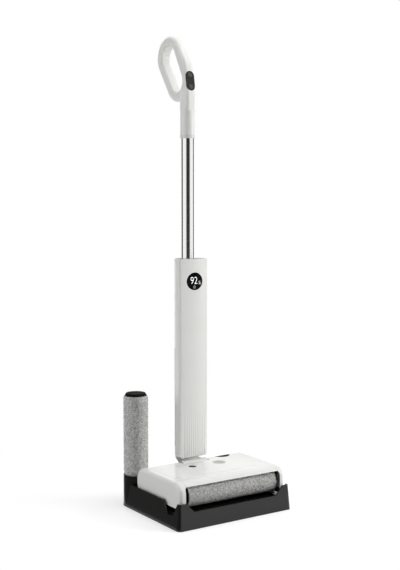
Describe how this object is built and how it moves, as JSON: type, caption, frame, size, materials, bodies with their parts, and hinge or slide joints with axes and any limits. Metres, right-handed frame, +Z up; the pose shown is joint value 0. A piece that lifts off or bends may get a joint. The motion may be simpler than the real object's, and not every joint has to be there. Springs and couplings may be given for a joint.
{
  "type": "floor washer",
  "caption": "Slim upright wet and dry floor washer with a powered plush roller, loop handle and round display, parked in a black dock tray that also holds a spare roller",
  "frame": {"origin": "the middle of the dock's footprint, on the floor", "axes": "+X to the right seen from the front, +Y to the back, +Z up; the roller and the dock's open lip face -Y"},
  "size_m": [0.304, 0.311, 1.0771],
  "materials": {
    "shell_white": "glossy, slightly warm white",
    "neck_white": "satin, pale grey white",
    "dock_black": "fine satin grain",
    "trim_black": "fine satin grain",
    "panel_black": "glossy",
    "button_grey": "satin, domed",
    "core_grey": "moulded",
    "plush_grey": "short dense pile",
    "filter_cloth": "pleated",
    "soft_rubber": "matte",
    "tank_smoke": "smoky, translucent",
    "dark_glass": "polished black",
    "board_green": "lacquered",
    "tube_chrome": "polished",
    "motor_steel": "drawn can",
    "screw_steel": "bright",
    "contact_brass": "plain"
  },
  "bodies": {
    "dock": {"dock_tray": "dock_black", "dock_base": "dock_black", "dock_feet": "soft_rubber", "dock_screws": "screw_steel", "contact_pins": "contact_brass", "wheel_rests": "soft_rubber", "dc_inlet": "trim_black"},
    "spare_roller": {"spare_sleeve": "plush_grey", "spare_core": "core_grey", "spare_caps": "trim_black"},
    "head": {"head_shell": "shell_white", "head_chassis": "trim_black", "head_screws": "screw_steel", "roller_cover": "shell_white", "roller_bearings": "screw_steel", "scraper_bar": "soft_rubber", "spray_bar": "trim_black", "drive_motor": "motor_steel", "drive_belt": "soft_rubber", "suction_duct": "core_grey", "charge_block": "trim_black", "charge_pads": "contact_brass", "wheel_axles": "screw_steel", "tilt_pin": "screw_steel"},
    "lid": {"tank_lid": "shell_white", "level_window": "dark_glass", "dirty_tank": "tank_smoke"},
    "release": {"release_button": "neck_white"},
    "roller": {"roller_axle": "screw_steel", "roller_core": "core_grey", "roller_sleeve": "plush_grey", "roller_caps": "trim_black", "roller_pulley": "core_grey"},
    "motor_rotor": {"motor_pulley": "core_grey"},
    "left_wheel": {"wheel_left": "soft_rubber"},
    "right_wheel": {"wheel_right": "soft_rubber"},
    "neck": {"neck_yoke": "neck_white", "swivel_ring": "core_grey"},
    "upright": {"front_cover": "shell_white", "rear_shell": "shell_white", "top_cap": "neck_white", "bottom_cap": "neck_white", "display_lens": "dark_glass", "display_board": "board_green", "battery_pack": "trim_black", "pump": "core_grey", "inlet_filter": "filter_cloth", "fan_housing": "core_grey", "tube": "tube_chrome", "tube_collar": "shell_white", "handle_left": "shell_white", "handle_right": "shell_white", "button_panel": "panel_black", "switch_board": "board_green"},
    "fan": {"fan_wheel": "core_grey"},
    "tank": {"water_tank": "tank_smoke", "tank_stopper": "soft_rubber"},
    "power": {"power_button": "button_grey"},
    "mode": {"mode_button": "button_grey"}
  },
  "joints": [
    {"name": "lift_machine", "type": "slide", "parent": "dock", "child": "head", "axis": [0, 0, 1], "range_m": [0, 0.12]},
    {"name": "lift_spare", "type": "slide", "parent": "dock", "child": "spare_roller", "axis": [0, 0, 1], "range_m": [0, 0.3]},
    {"name": "lid_lift", "type": "slide", "parent": "head", "child": "lid", "axis": [0, 0, 1], "range_m": [0, 0.06]},
    {"name": "release_press", "type": "slide", "parent": "lid", "child": "release", "axis": [0, 0, -1], "range_m": [0, 0.002], "stiffness_N_per_m": 400, "springref_m": -0.0015},
    {"name": "roller_spin", "type": "hinge", "parent": "head", "child": "roller", "pos_m": [0, -0.08575, 0.065], "axis": [1, 0, 0], "continuous": true},
    {"name": "motor_spin", "type": "hinge", "parent": "head", "child": "motor_rotor", "pos_m": [-0.131, 0.02375, 0.0615], "axis": [1, 0, 0], "continuous": true},
    {"name": "left_wheel_roll", "type": "hinge", "parent": "head", "child": "left_wheel", "pos_m": [-0.1075, 0.05375, 0.0493], "axis": [1, 0, 0], "continuous": true},
    {"name": "right_wheel_roll", "type": "hinge", "parent": "head", "child": "right_wheel", "pos_m": [0.1075, 0.05375, 0.0493], "axis": [1, 0, 0], "continuous": true},
    {"name": "body_tilt", "type": "hinge", "parent": "head", "child": "neck", "pos_m": [0, 0.04375, 0.088], "axis": [-1, 0, 0], "range_deg": [0, 68]},
    {"name": "body_swivel", "type": "hinge", "parent": "neck", "child": "upright", "pos_m": [0, 0.06875, 0.113], "axis": [0, 0, 1], "range_deg": [-40, 40]},
    {"name": "fan_spin", "type": "hinge", "parent": "upright", "child": "fan", "pos_m": [0, 0.06475, 0.44], "axis": [0, 0, 1], "continuous": true},
    {"name": "tank_tip", "type": "hinge", "parent": "upright", "child": "tank", "pos_m": [0, 0.09125, 0.1345], "axis": [-1, 0, 0], "range_deg": [0, 18]},
    {"name": "power_press", "type": "slide", "parent": "upright", "child": "power", "axis": [0, 0.9877, -0.1564], "range_m": [0, 0.001], "stiffness_N_per_m": 500, "springref_m": -0.0008},
    {"name": "mode_press", "type": "slide", "parent": "upright", "child": "mode", "axis": [0, 0.9877, -0.1564], "range_m": [0, 0.001], "stiffness_N_per_m": 500, "springref_m": -0.0008}
  ],
  "couplings": [
    {"joint": "motor_spin", "follows": "roller_spin", "ratio": 2.1429}
  ]
}
